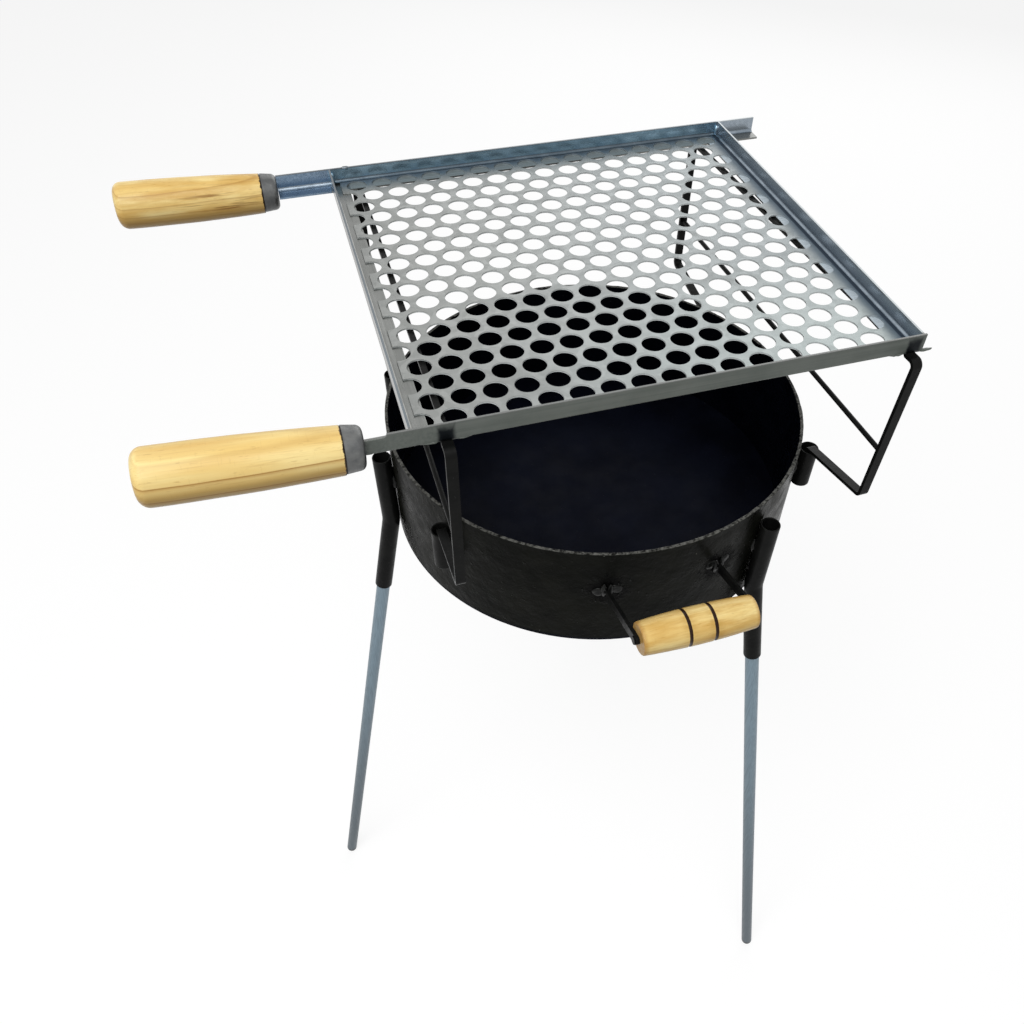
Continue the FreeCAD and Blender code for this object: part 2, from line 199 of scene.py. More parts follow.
def makeSpeckle():
    group, given, result = startGroup(
        "speckle",
        [("Scale", "Float", 400.0), ("Size", "Float", 0.25)],
        ["Mask"])
    cells = put(group, "ShaderNodeTexVoronoi", {"Vector": given["Vector"], "Scale": given["Scale"]})
    chosen = put(group, "ShaderNodeSeparateColor", {0: cells.outputs["Color"]}).outputs[0]
    reach = times(group, given["Size"], rescale(group, chosen, 0.5, 1.0))
    core = times(group, reach, 0.6)
    feed(group, result["Mask"], rescale(group, cells.outputs["Distance"], reach, core))
    return group


def makeSpot():
    group, given, result = startGroup(
        "spot",
        [("Centre", "Vector", (0, 0, 0)), ("Reach", "Float", 0.01), ("Ragged", "Float", 0.3),
         ("Scale", "Float", 150.0)],
        ["Mask"])
    away = vectorMaths(group, "DISTANCE", given["Vector"], given["Centre"])
    cloud = noise(group, given["Vector"], given["Scale"], 4.0, 0.65)
    swing = times(group, maths(group, "SUBTRACT", cloud, 0.5), given["Ragged"])
    near = total(group, (maths(group, "DIVIDE", away, given["Reach"]), 1.0), (swing, 2.0))
    feed(group, result["Mask"], rescale(group, near, 1.0, 0.45))
    return group


def makePineGrain():
    group, given, result = startGroup(
        "pineGrain",
        [("Step", "Float", 0.008), ("Wobble", "Float", 0.004)],
        ["Late", "Fibre", "Tone", "Fleck", "Tick", "Reach"])
    slow = stretch(group, given["Vector"], (7.0, 34.0, 34.0))
    drift = times(group, maths(group, "SUBTRACT", noise(group, slow, 1.0), 0.5), given["Wobble"])
    flat = split(group, given["Vector"])
    across = put(group, "ShaderNodeCombineXYZ", {1: flat[1], 2: flat[2]}).outputs[0]
    reach = maths(group, "ADD", vectorMaths(group, "LENGTH", across, (0, 0, 0)), drift)
    feed(group, result["Reach"], reach)
    phase = maths(group, "FRACT", maths(group, "DIVIDE", reach, given["Step"]))
    rising = maths(group, "POWER", phase, 10.0)
    falling = rescale(group, phase, 0.05, 0.0)
    feed(group, result["Late"], maths(group, "MAXIMUM", rising, falling))
    thread = stretch(group, given["Vector"], (30.0, 1300.0, 1300.0))
    feed(group, result["Fibre"], noise(group, thread, 1.0, 3.0, 0.6))
    wide = stretch(group, given["Vector"], (10.0, 90.0, 90.0), (3.1, 1.7, 0.4))
    feed(group, result["Tone"], noise(group, wide, 1.0))
    short = stretch(group, given["Vector"], (160.0, 1100.0, 1100.0), (1.3, 0.2, 2.1))
    feed(group, result["Fleck"], rescale(group, noise(group, short, 1.0, 1.0), 0.66, 0.78))
    cross = stretch(group, given["Vector"], (900.0, 130.0, 130.0), (0.7, 2.2, 1.9))
    feed(group, result["Tick"], rescale(group, noise(group, cross, 1.0, 1.0), 0.64, 0.76))
    return group


def makeRolledZinc():
    group, given, result = startGroup(
        "rolledZinc",
        [("Along", "Vector", (4.0, 300.0, 300.0))],
        ["Streak", "Spangle", "Stain"])
    lines = vectorMaths(group, "MULTIPLY", given["Vector"], given["Along"])
    feed(group, result["Streak"], noise(group, lines, 1.0, 3.0, 0.6))
    cells = put(group, "ShaderNodeTexVoronoi", {"Vector": given["Vector"], "Scale": 160.0})
    feed(group, result["Spangle"], put(group, "ShaderNodeSeparateColor", {0: cells.outputs["Color"]}).outputs[1])
    feed(group, result["Stain"], noise(group, given["Vector"], 18.0, 5.0, 0.65))
    return group


mottle = makeMottle()
speckle = makeSpeckle()
spot = makeSpot()
pineGrain = makePineGrain()
rolledZinc = makeRolledZinc()
print("node groups ready")


def cloudy(tree, where, scale, low=0.0, high=1.0):
    return use(tree, mottle, Vector=where, Scale=scale, Low=low, High=high)["Value"]


def flecks(tree, where, scale, size):
    return use(tree, speckle, Vector=where, Scale=scale, Size=size)["Mask"]


# places that finishes and welds share
def rackFrontX(end):
    low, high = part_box("rack_" + end)
    middle = low.x + rackBar / 2 if end == "left" else high.x - rackBar / 2
    return middle + rackLean[end]


def armRoots():
    roots = []
    for end in ends:
        low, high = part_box("carry_arm_" + end)
        roots.append(Vector(((low.x + high.x) / 2, high.y, low.z + 5 * mm)))
    return roots


# finishes
def makePanPaint():
    look = {
        "outside": (colour(0.0028, 0.0031, 0.0023), colour(0.0074, 0.0077, 0.0057)),
        "inside": (colour(0.0006, 0.0008, 0.0018), colour(0.0016, 0.0021, 0.0044)),
        "wornRim": colour(0.125, 0.125, 0.115),
        "soot": colour(0.0008, 0.0008, 0.0008),
        "chip": colour(0.1, 0.1, 0.09),
        "rimBand": 0.8 * mm,
    }
    material, tree, shader, where = startMaterial("panPaint", 0.0, 0.032)
    flat = split(tree, where)
    outside = rescale(tree, awayFromPan(tree, flat), panRadius - 2.0 * mm, panRadius - 1.0 * mm)
    patch = cloudy(tree, where, 26.0)
    # painted shade: the inside of the wall takes darker, bluer colours than the outside
    base = blend(tree, outside, blend(tree, patch, *look["inside"]), blend(tree, patch, *look["outside"]))
    chips = flecks(tree, where, 95.0, 0.08)
    base = blend(tree, times(tree, chips, outside), base, look["chip"])
    rim = rescale(tree, flat[2], rimZ - look["rimBand"], rimZ - 0.2 * mm)
    worn = rescale(tree, noise(tree, where, 240.0, 4.0, 0.7), 0.36, 0.62)
    base = blend(tree, times(tree, rim, worn), base, look["wornRim"])
    burns = strongest(tree, [
        use(tree, spot, Vector=where, Centre=root, Reach=21 * mm, Ragged=0.7, Scale=190.0)["Mask"]
        for root in armRoots()])
    gloss = cloudy(tree, where, 60.0, 0.22, 0.40)
    rough = total(tree, (gloss, 1.0), (burns, 0.2))
    grit = flecks(tree, where, 150.0, 0.26)
    crust = times(tree, burns, noise(tree, where, 420.0, 4.0, 0.7))
    height = total(tree, (noise(tree, where, 75.0, 4.0, 0.62), 1.2), (grit, 0.5),
                   (noise(tree, where, 900.0), 0.07), (crust, 0.9))
    dress(tree, shader, blend(tree, burns, base, look["soot"]), rough, height, 0.85 * mm)
    return material


def makeFloorPaint():
    look = {
        "dark": colour(0.0006, 0.0008, 0.0022),
        "light": colour(0.004, 0.0052, 0.0112),
        "ash": colour(0.016, 0.017, 0.02),
    }
    material, tree, shader, where = startMaterial("panFloorPaint", 0.0, 0.04)
    # painted light and shade: the pan floor is lighter and bluer towards its middle, darker by the wall
    middle = rescale(tree, awayFromPan(tree, split(tree, where)), panRadius, 0.35 * panRadius)
    patch = cloudy(tree, where, 22.0)
    base = blend(tree, total(tree, (patch, 0.45), (middle, 0.55)), look["dark"], look["light"])
    ash = flecks(tree, where, 210.0, 0.16)
    base = blend(tree, times(tree, ash, 0.4), base, look["ash"])
    rough = cloudy(tree, where, 50.0, 0.40, 0.60)
    dress(tree, shader, base, rough, total(tree, (noise(tree, where, 60.0, 3.0), 1.0), (ash, 0.4)), 0.4 * mm)
    return material


def makeBarPaint(name, specular, gloss):
    look = {
        "dark": colour(0.0035, 0.0037, 0.0037),
        "light": colour(0.0075, 0.0077, 0.0072),
        "scuff": colour(0.05, 0.05, 0.046),
    }
    material, tree, shader, where = startMaterial(name, 0.0, specular)
    patch = cloudy(tree, where, 70.0)
    scuffs = flecks(tree, where, 420.0, 0.2)
    base = blend(tree, patch, look["dark"], look["light"])
    base = blend(tree, times(tree, scuffs, 0.5), base, look["scuff"])
    rough = cloudy(tree, where, 120.0, *gloss)
    dress(tree, shader, base, rough, total(tree, (noise(tree, where, 260.0, 3.0), 1.0), (scuffs, 0.6)), 0.18 * mm)
    return material


def makeSheetZinc():
    look = {
        "left": (colour(0.222, 0.23, 0.222), colour(0.295, 0.304, 0.295)),
        "right": (colour(0.225, 0.247, 0.25), colour(0.3, 0.325, 0.33)),
        "front": colour(0.352, 0.394, 0.386),
        "cut": colour(0.54, 0.57, 0.57),  # walls of the punched holes
        "stain": colour(0.18, 0.188, 0.184),
        "shade": colour(0.142, 0.186, 0.228),  # the dark bars mirrored along the far edges
        "shadeReach": 15 * mm,
        "shadeCore": 3 * mm,
        "shadeWaver": 5 * mm,
        "gap": colour(0.036, 0.052, 0.074),  # shadow against the right fold
        "gapReach": (4.6 * mm, 3.4 * mm),
    }
    material, tree, shader, where = startMaterial("sheetZinc", 0.8)
    rolled = use(tree, rolledZinc, Vector=where, Along=(5.0, 260.0, 260.0))
    tone = total(tree, (rolled["Streak"], 0.6), (rolled["Spangle"], 0.4))
    flat = split(tree, where)
    # painted reflection: the sheet is darker and warmer on the left, lighter and cooler on the right
    across = rescale(tree, flat[0], sheetLow.x, sheetHigh.x)
    base = blend(tree, across, blend(tree, tone, *look["left"]), blend(tree, tone, *look["right"]))
    # painted reflection: the sheet is lighter towards the front, more so towards the right
    toFront = rescale(tree, flat[1], sheetLow.y + 0.45 * (sheetHigh.y - sheetLow.y), sheetLow.y, 0.0, 0.75)
    base = blend(tree, times(tree, toFront, across), base, look["front"])
    stain = rescale(tree, rolled["Stain"], 0.54, 0.72, 0.0, 0.5)
    base = blend(tree, stain, base, look["stain"])
    wall = times(tree, rescale(tree, flat[2], sheetHigh.z - 0.2 * mm, sheetHigh.z - 0.4 * mm),
                 rescale(tree, flat[2], sheetLow.z + 0.05 * mm, sheetLow.z + 0.2 * mm))
    base = blend(tree, wall, base, look["cut"])
    feed(tree, shader.inputs["Metallic"], rescale(tree, wall, 0.0, 1.0, 0.8, 0.4))
    edges = []
    for axis, edge, weight in ((0, sheetHigh.x, 0.9), (1, sheetHigh.y, 0.85)):
        wavy = total(tree, (flat[axis], 1.0), (noise(tree, where, 45.0, 3.0), look["shadeWaver"]))
        line = edge + look["shadeWaver"] / 2
        edges.append(rescale(tree, wavy, line - look["shadeReach"], line - look["shadeCore"], 0.0, weight))
    base = blend(tree, strongest(tree, edges), base, look["shade"])
    gap = rescale(tree, flat[0], *[sheetHigh.x - reach for reach in look["gapReach"]])
    height = total(tree, (rolled["Streak"], 0.4), (noise(tree, where, 30.0, 3.0), 2.5))
    rough = rescale(tree, tone, 0.2, 0.8, 0.46, 0.34)
    dress(tree, shader, blend(tree, gap, base, look["gap"]), rough, height, 0.06 * mm)
    return material


def makeFrameZinc():
    look = {
        "flange": (colour(0.15, 0.155, 0.148), colour(0.225, 0.23, 0.222)),
        "paintedSkyBlue": (colour(0.165, 0.275, 0.36), colour(0.27, 0.395, 0.49)),
        "blueGrey": (colour(0.26, 0.305, 0.35), colour(0.34, 0.39, 0.44)),
        "neck": (colour(0.14, 0.205, 0.285), colour(0.235, 0.315, 0.41)),
        "under": (colour(0.44, 0.5, 0.54), colour(0.185, 0.212, 0.215)),  # right and back flange seen through the holes: painted light, lighter on the right than at the back
        "frontEdge": colour(0.16, 0.165, 0.16),
        "rearEdge": colour(0.15, 0.17, 0.185),
        "rightEdge": colour(0.33, 0.355, 0.365),
        "skin": (colour(0.088, 0.102, 0.09), colour(0.128, 0.142, 0.128)),
        "overspray": colour(0.01, 0.012, 0.014),
        "spray": (5.2 * mm, 11.5 * mm),  # half width and height of a sprayed patch
    }
    material, tree, shader, where = startMaterial("frameZinc", 0.85)
    rolled = use(tree, rolledZinc, Vector=where, Along=(6.0, 420.0, 420.0))
    flat = split(tree, where)
    rightward = rescale(tree, flat[0], sheetHigh.x - 1 * mm, sheetHigh.x)
    sideways = strongest(tree, [rightward, rescale(tree, flat[0], leftBarHigh.x + 1 * mm, leftBarHigh.x)])
    turnedStreak = use(tree, rolledZinc, Vector=where, Along=(420.0, 6.0, 420.0))["Streak"]
    streak = total(tree, (rolled["Streak"], maths(tree, "SUBTRACT", 1.0, sideways)), (turnedStreak, sideways))
    tone = rescale(tree, total(tree, (streak, 0.4), (rolled["Stain"], 0.6)), 0.35, 0.65)
    faceY = frontBarLow.y
    paintedSkyBlue = strongest(tree, [  # the inner faces of the right and back bars, painted with the sky's blue reflection
        rescale(tree, flat[0], leftBarHigh.x, leftBarHigh.x + 5 * mm),
        rescale(tree, flat[1], backBarLow.y, backBarLow.y + 2 * mm)])
    paintedSkyBlue = times(tree, paintedSkyBlue, rescale(tree, flat[2], sheetHigh.z - 0.5 * mm, sheetHigh.z + 0.5 * mm))
    # painted reflection: sky blue on the back bar's inner face, blue-grey on the right bar's
    inner = blend(tree, rightward, blend(tree, tone, *look["paintedSkyBlue"]), blend(tree, tone, *look["blueGrey"]))
    base = blend(tree, paintedSkyBlue, blend(tree, tone, *look["flange"]), inner)
    # painted sky reflection: blue on the back bar's neck beyond the left bar
    onNeck = rescale(tree, flat[0], leftBarLow.x - 0.3 * mm, leftBarLow.x - 0.8 * mm)
    onNeck = times(tree, onNeck, rescale(tree, flat[1], 0.0, 10 * mm))
    base = blend(tree, onNeck, base, blend(tree, tone, *look["neck"]))
    under = times(tree, rescale(tree, flat[2], sheetLow.z - 0.6 * mm, sheetLow.z - 0.2 * mm),
                  rescale(tree, flat[2], sheetHigh.z, sheetLow.z + 0.2 * mm))
    for axis, low, high in ((0, leftBarHigh.x, leftBarHigh.x + 2 * mm), (0, sheetHigh.x, sheetHigh.x - 0.4 * mm),
                            (1, sheetHigh.y, sheetHigh.y - 0.4 * mm)):
        under = times(tree, under, rescale(tree, flat[axis], low, high))
    atBack = rescale(tree, flat[1], backBarLow.y - 2 * mm, backBarLow.y)
    # painted light on the flange under the holes
    base = blend(tree, under, base, blend(tree, atBack, *look["under"]))
    front = rescale(tree, flat[1], faceY + 0.9 * mm, faceY + 0.3 * mm)
    base = blend(tree, front, base, blend(tree, tone, *look["skin"]))
    # painted highlight: the bars' top edges are lighter, most on the right bar
    topZ = frontBarHigh.z
    top = rescale(tree, flat[2], topZ - 0.7 * mm, topZ - 0.2 * mm)
    nearFront = rescale(tree, flat[1], faceY + 4 * mm, faceY + 2 * mm)
    farEdge = blend(tree, rightward, look["rearEdge"], look["rightEdge"])
    base = blend(tree, top, base, blend(tree, nearFront, farEdge, look["frontEdge"]))
    marks = []
    for end in ends:
        off = maths(tree, "ABSOLUTE", maths(tree, "SUBTRACT", flat[0], rackFrontX(end)))
        along = maths(tree, "DIVIDE", off, look["spray"][0])
        upward = maths(tree, "DIVIDE", maths(tree, "SUBTRACT", flat[2], frontBarLow.z), look["spray"][1])
        edge = total(tree, (maths(tree, "MAXIMUM", along, upward), 1.0), (noise(tree, where, 160.0, 3.0), 0.5))
        marks.append(rescale(tree, edge, 1.6, 0.95))
    sprayed = times(tree, strongest(tree, marks), front)
    rough = total(tree, (rescale(tree, streak, 0.3, 0.7, 0.32, 0.20), 1.0), (front, 0.25))
    metal = rescale(tree, strongest(tree, [front, under]), 0.0, 1.0, 0.88, 0.2)
    feed(tree, shader.inputs["Metallic"], maths(tree, "MAXIMUM", metal, sprayed))
    height = total(tree, (streak, 0.5), (rolled["Stain"], 1.5))
    dress(tree, shader, blend(tree, sprayed, base, look["overspray"]), rough, height, 0.06 * mm)
    return material


def makeFoldZinc():
    look = {
        "blue": (colour(0.2, 0.24, 0.28), colour(0.31, 0.36, 0.41)),
        "back": (colour(0.075, 0.098, 0.12), colour(0.11, 0.14, 0.165)),
        "grey": (colour(0.2, 0.2, 0.19), colour(0.3, 0.3, 0.285)),  # along the left bar
    }
    material, tree, shader, where = startMaterial("foldZinc", 0.9)
    worn = cloudy(tree, where, 70.0)
    flat = split(tree, where)
    along = flat[0]
    onBack = rescale(tree, flat[1], backBarLow.y, backBarLow.y + 2 * mm)
    for low, high in ((leftBarLow.x, leftBarLow.x + 1 * mm), (sheetHigh.x + 1 * mm, sheetHigh.x)):
        onBack = times(tree, onBack, rescale(tree, along, low, high))
    onLeft = times(tree, rescale(tree, along, leftBarLow.x, leftBarLow.x + 0.5 * mm),
                   rescale(tree, along, leftBarLow.x + 8 * mm, leftBarLow.x + 5 * mm))
    # painted highlight and sky reflection on the bends: blue, grey along the left bar, darker on the back bar
    base = blend(tree, onLeft, blend(tree, worn, *look["blue"]), blend(tree, worn, *look["grey"]))
    base = blend(tree, onBack, base, blend(tree, worn, *look["back"]))
    rough = cloudy(tree, where, 200.0, 0.30, 0.42)
    dress(tree, shader, base, rough, noise(tree, where, 120.0), 0.03 * mm)
    return material


def makeLegSteel():
    look = {
        "top": colour(0.215, 0.295, 0.355),
        "bottom": colour(0.108, 0.135, 0.155),
        "tip": colour(0.055, 0.055, 0.055),
    }
    material, tree, shader, where = startMaterial("legSteel", 0.6)
    flat = split(tree, where)
    # painted shade: the legs darken towards the floor
    base = blend(tree, rescale(tree, flat[2], 0.05, 0.55), look["bottom"], look["top"])
    streak = noise(tree, stretch(tree, where, (900.0, 900.0, 7.0)), 1.0, 3.0, 0.6)
    base = blend(tree, rescale(tree, streak, 0.35, 0.75, 0.0, 0.4), base, look["bottom"])
    tip = rescale(tree, flat[2], 12 * mm, 4 * mm)
    rough = rescale(tree, streak, 0.3, 0.7, 0.34, 0.46)
    dress(tree, shader, blend(tree, tip, base, look["tip"]), rough, streak, 0.04 * mm)
    return material


def makeFerruleSteel():
    look = {"dark": colour(0.095, 0.098, 0.1), "light": colour(0.155, 0.158, 0.155)}
    material, tree, shader, where = startMaterial("ferruleSteel", 0.75)
    drawn = noise(tree, stretch(tree, where, (1400.0, 40.0, 40.0)), 1.0, 3.0, 0.6)
    worn = cloudy(tree, where, 120.0)
    rough = rescale(tree, drawn, 0.3, 0.7, 0.34, 0.48)
    height = total(tree, (drawn, 0.5), (worn, 1.0))
    dress(tree, shader, blend(tree, worn, look["dark"], look["light"]), rough, height, 0.06 * mm)
    return material


# wood with its grain along the piece's own axis, counted from one point on it
def makePine(name, centre, tilt, plan):
    look = {
        "early": colour(0.84, 0.6, 0.22),
        "pale": colour(0.93, 0.75, 0.34),
        "aged": colour(0.66, 0.4, 0.105),
        "amber": colour(0.62, 0.33, 0.08),
        "core": colour(0.5, 0.29, 0.065),
        "late": colour(0.36, 0.16, 0.03),
        "streak": colour(0.25, 0.115, 0.025),
        "burnt": colour(0.022, 0.008, 0.004),
    }
    material, tree, shader, where = startMaterial(name, 0.0, 0.14, 0.12, 0.15)
    away = vectorMaths(tree, "SUBTRACT", where, centre)
    place = put(tree, "ShaderNodeMapping", {"Vector": away, "Rotation": (0, -math.radians(tilt), 0)}).outputs[0]
    grain = use(tree, pineGrain, Vector=vectorMaths(tree, "SUBTRACT", place, plan["heart"]),
                Step=plan["ringStep"], Wobble=plan["wobble"])
    base = blend(tree, rescale(tree, grain["Tone"], 0.35, 0.65), look["early"], look["pale"])
    blotch = cloudy(tree, stretch(tree, place, (0.4, 2.5, 2.5)), 55.0)
    base = blend(tree, times(tree, blotch, plan["aged"]), base, look["aged"])
    lines = times(tree, grain["Late"], plan["lines"])
    if "cap" in plan:  # the next ring lies open along the top
        over = rescale(tree, grain["Reach"], plan["cap"], plan["cap"] + 1.6 * mm, 0.0, 0.42)
        base = blend(tree, over, base, look["amber"])
        lines = times(tree, lines, rescale(tree, grain["Reach"], plan["cap"], plan["cap"] - 1 * mm))
    core = rescale(tree, grain["Reach"], plan["core"], plan["core"] - 8 * mm, 0.0, 0.75)  # heartwood on the lower side, partly painted shade: the underside turns darker and browner
    base = blend(tree, core, base, look["core"])
    fibre = rescale(tree, grain["Fibre"], 0.50, 0.85, 0.0, 0.35)
    for mark in (lines, fibre, times(tree, grain["Fleck"], 0.28), times(tree, grain["Tick"], 0.07)):
        base = blend(tree, mark, base, look["late"])
    along = split(tree, place)[0]
    burns = []
    for ring in plan.get("rings", ()):
        off = maths(tree, "ABSOLUTE", maths(tree, "SUBTRACT", along, ring))
        off = total(tree, (off, 1.0), (noise(tree, where, 500.0), 0.4 * mm))
        half = plan["ringWidth"] / 2
        burns.append(rescale(tree, off, half + 0.35 * mm, half - 0.15 * mm))
        halo = rescale(tree, off, half + 7 * mm, half, 0.0, 0.6)
        base = blend(tree, times(tree, halo, blotch), base, look["core"])
    if "ends" in plan:  # dirt worn into both ends
        tips = rescale(tree, maths(tree, "ABSOLUTE", along), plan["ends"] - 4 * mm, plan["ends"], 0.0, 0.6)
        base = blend(tree, tips, base, look["late"])
    if "seam" in plan:  # dirt line against the ferrule
        edge = total(tree, (along, 1.0), (noise(tree, where, 260.0, 3.0, 0.7), 3.4 * mm))
        burns.append(rescale(tree, edge, plan["seam"] + 0.4 * mm, plan["seam"] + 1.1 * mm))
    if "knot" in plan:  # darker streaky band
        band = rescale(tree, noise(tree, stretch(tree, place, (16.0, 420.0, 420.0)), 1.0, 3.0, 0.6), 0.52, 0.68)
        squash = (1.0, 2.2, 2.2)
        middle = tuple(value * share for value, share in zip(plan["knot"], squash))
        near = rescale(tree, vectorMaths(tree, "DISTANCE", stretch(tree, place, squash), middle), 55 * mm, 10 * mm)
        base = blend(tree, times(tree, times(tree, band, near), 0.8), base, look["streak"])
    base = blend(tree, strongest(tree, burns), base, look["burnt"])
    rough = rescale(tree, grain["Fibre"], 0.3, 0.8, 0.30, 0.44)
    height = total(tree, (grain["Fibre"], 1.0), (grain["Late"], -0.5), (grain["Tick"], -0.2))
    dress(tree, shader, base, rough, height, 0.05 * mm)
    return material


ferruleLength = 12.6 * mm


def handleSetting(side):
    settings = {
        "front": {"neck": 27.2 * mm, "rise": 5.0 * mm, "tilt": 3.7},
        "back": {"neck": 43.5 * mm, "rise": 2.9 * mm, "tilt": 2.2},
    }
    inset = 4.0 * mm
    y = frontBarLow.y + inset if side == "front" else backBarHigh.y - inset
    given = settings[side]
    return Vector((leftBarLow.x - given["neck"], y, frontBarLow.z + given["rise"])), given["tilt"]


panPaint = makePanPaint()
floorPaint = makeFloorPaint()
barPaint = makeBarPaint("barPaint", 0.07, (0.28, 0.44))
weldPaint = makeBarPaint("weldPaint", 0.13, (0.16, 0.30))
sheetZinc = makeSheetZinc()
frameZinc = makeFrameZinc()
foldZinc = makeFoldZinc()
legSteel = makeLegSteel()
ferruleSteel = makeFerruleSteel()
gripPine = makePine("gripPine", gripMiddle, 0.0, {
    "heart": (0, -30 * mm, 50 * mm), "ringStep": 11 * mm, "wobble": 12 * mm, "lines": 0.4, "aged": 0.95,
    "core": 22 * mm, "ends": (gripHigh.x - gripLow.x) / 2, "rings": (-10 * mm, 10 * mm), "ringWidth": 2.8 * mm})
handleWood = {
    "front": {"heart": (0, 0, -60.8 * mm), "ringStep": 9.58 * mm, "wobble": 2.6 * mm, "lines": 0.85, "aged": 0.12,
              "cap": 76.2 * mm, "core": 67 * mm, "seam": -ferruleLength},
    "back": {"heart": (0, 6 * mm, -46 * mm), "ringStep": 6.1 * mm, "wobble": 3.5 * mm, "lines": 0.5, "aged": 0.85,
             "core": 52 * mm, "knot": (-42 * mm, -15 * mm, 4 * mm), "seam": -ferruleLength},
}
handlePine = {side: makePine("handlePine_" + side, *handleSetting(side), handleWood[side]) for side in sides}
print("finishes ready")

# CAD nodes take their finishes
finishOfSlot = {"zinc_frame": frameZinc, "zinc_sheet": sheetZinc, "leg_tube": legSteel, "ferrule_steel": ferruleSteel}
finishOfNode = {"pan_wall": panPaint, "pan_welds": weldPaint, "pan_floor": floorPaint, "carry_grip": gripPine,
                "handle_front": handlePine["front"], "handle_back": handlePine["back"]}


def finishFor(name):
    return finishOfNode.get(name) or finishOfSlot.get(slotOf[name], barPaint)


for name, node in nodes.items():
    node.data.materials.clear()
    node.data.materials.append(finishFor(name))


# modelling helpers
def clearSelection():
    bpy.ops.object.select_all(action="DESELECT")


def applyTransform():
    bpy.ops.object.transform_apply()


def toEdit():
    bpy.ops.object.mode_set(mode="EDIT")


def toObject():
    bpy.ops.object.mode_set(mode="OBJECT")


def selectAll():
    bpy.ops.mesh.select_all(action="SELECT")


def wake(piece):
    clearSelection()
    piece.select_set(True)
    bpy.context.view_layer.objects.active = piece


def applyModifier(piece, kind, **settings):
    wake(piece)
    modifier = piece.modifiers.new(kind.lower(), kind)
    for key, value in settings.items():
        setattr(modifier, key, value)
    bpy.ops.object.modifier_apply(modifier=modifier.name)


def settle(piece, finish, body, replaced=(), smoothAngle=40):
    wake(piece)
    applyTransform()
    bpy.ops.object.shade_smooth_by_angle(angle=math.radians(smoothAngle))
    applyModifier(piece, "WEIGHTED_NORMAL", keep_sharp=True)
    piece.data.materials.clear()
    piece.data.materials.append(finish)
    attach(piece, body)
    if replaced:
        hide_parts(*replaced)


def ripple(piece, size, strength, group=""):
    cloud = bpy.data.textures.new(piece.name + "Ripple", "CLOUDS")
    cloud.noise_scale = size
    cloud.noise_depth = 2
    applyModifier(piece, "DISPLACE", texture=cloud, texture_coords="LOCAL", strength=strength, vertex_group=group)


# a copy of a CAD piece with its edges rounded over
def softened(node, width, reshape):
    piece = bpy.data.objects.new("soft_" + node, nodes[node].data.copy())
    bpy.context.scene.collection.objects.link(piece)
    wake(piece)
    toEdit()
    selectAll()
    bpy.ops.mesh.remove_doubles(threshold=0.01 * mm)
    bpy.ops.mesh.dissolve_limited(angle_limit=math.radians(1.0))
    toObject()
    if reshape:
        reshape(piece)
    applyModifier(piece, "BEVEL", width=width, segments=2, limit_method="ANGLE", angle_limit=math.radians(40))
    settle(piece, finishFor(node), bodyOf[node], [node])


def pick(piece, wanted):
    wake(piece)
    for part in (*piece.data.edges, *piece.data.polygons):
        part.select = False
    for vertex in piece.data.vertices:
        vertex.select = wanted(vertex.co)
    toEdit()
    bpy.ops.mesh.select_mode(type="VERT")


# rack: the front upright leans, and the run under the grill is dressed down to a narrower bar
def dressRack(end):
    plan = {
        "plate": 3.0 * mm,
        "run": 4.3 * mm,  # width of the bar under the grill
        "taper": (1 * mm, 7 * mm),  # from the frame's outer face
        "shift": {"left": (1.6 * mm, 1.6 * mm), "right": (1.6 * mm, -1.6 * mm)},  # front, back
    }
    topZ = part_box("rack_" + end)[1].z
    runZ = topZ - plan["plate"] - 0.05 * mm
    cuts = [frontBarLow.y + step for step in plan["taper"]] + [backBarHigh.y - step for step in plan["taper"][::-1]]

    def reshape(piece):
        pick(piece, lambda co: co.z > topZ - 30 * mm and co.y < 0)
        bpy.ops.transform.translate(value=(rackLean[end], 0, 0))
        toObject()
        for cut in cuts:
            toEdit()
            selectAll()
            bpy.ops.mesh.bisect(plane_co=(0, cut, 0), plane_no=(0, 1, 0))
            toObject()
        for cut, shift in zip(cuts[1:3], plan["shift"][end]):
            across = [v.co.x for v in piece.data.vertices if v.co.z > runZ and abs(v.co.y - cut) < 0.5 * mm]
            middle = ((min(across) + max(across)) / 2, cut, topZ)
            pick(piece, lambda co: co.z > runZ and abs(co.y - cut) < 0.5 * mm)
            bpy.ops.transform.resize(value=(plan["run"] / rackBar, 1, 1), center_override=middle)
            bpy.ops.transform.translate(value=(shift, 0, 0))
            selectAll()
            bpy.ops.mesh.vert_connect_nonplanar(angle_limit=math.radians(0.5))
            toObject()

    return reshape


# a line extruded from point to point, left in edit mode
def drawLine(name, points):
    clearSelection()
    bpy.ops.mesh.primitive_plane_add(size=1 * mm, location=points[0])
    piece = bpy.context.object
    piece.name = name
    applyTransform()
    toEdit()
    selectAll()
    bpy.ops.mesh.merge(type="CENTER")
    for before, after in zip(points, points[1:]):
        step = [end - start for start, end in zip(before, after)]
        bpy.ops.mesh.extrude_region_move(TRANSFORM_OT_translate={"value": step})
    selectAll()
    return piece


# a profile of (along, radius) points spun about the X axis
def turned(name, profile, steps):
    piece = drawLine(name, [(along, 0, radius) for along, radius in profile])
    bpy.ops.mesh.spin(steps=steps, angle=2 * math.pi, center=(0, 0, 0), axis=(1, 0, 0))
    selectAll()
    bpy.ops.mesh.remove_doubles(threshold=0.01 * mm)
    bpy.ops.mesh.normals_make_consistent()
    toObject()
    return piece


def arcPoints(centre, radius, start, stop, count):
    angles = [math.radians(start + (stop - start) * i / count) for i in range(count + 1)]
    return [(centre[0] + radius * math.cos(a), centre[1] + radius * math.sin(a)) for a in angles]


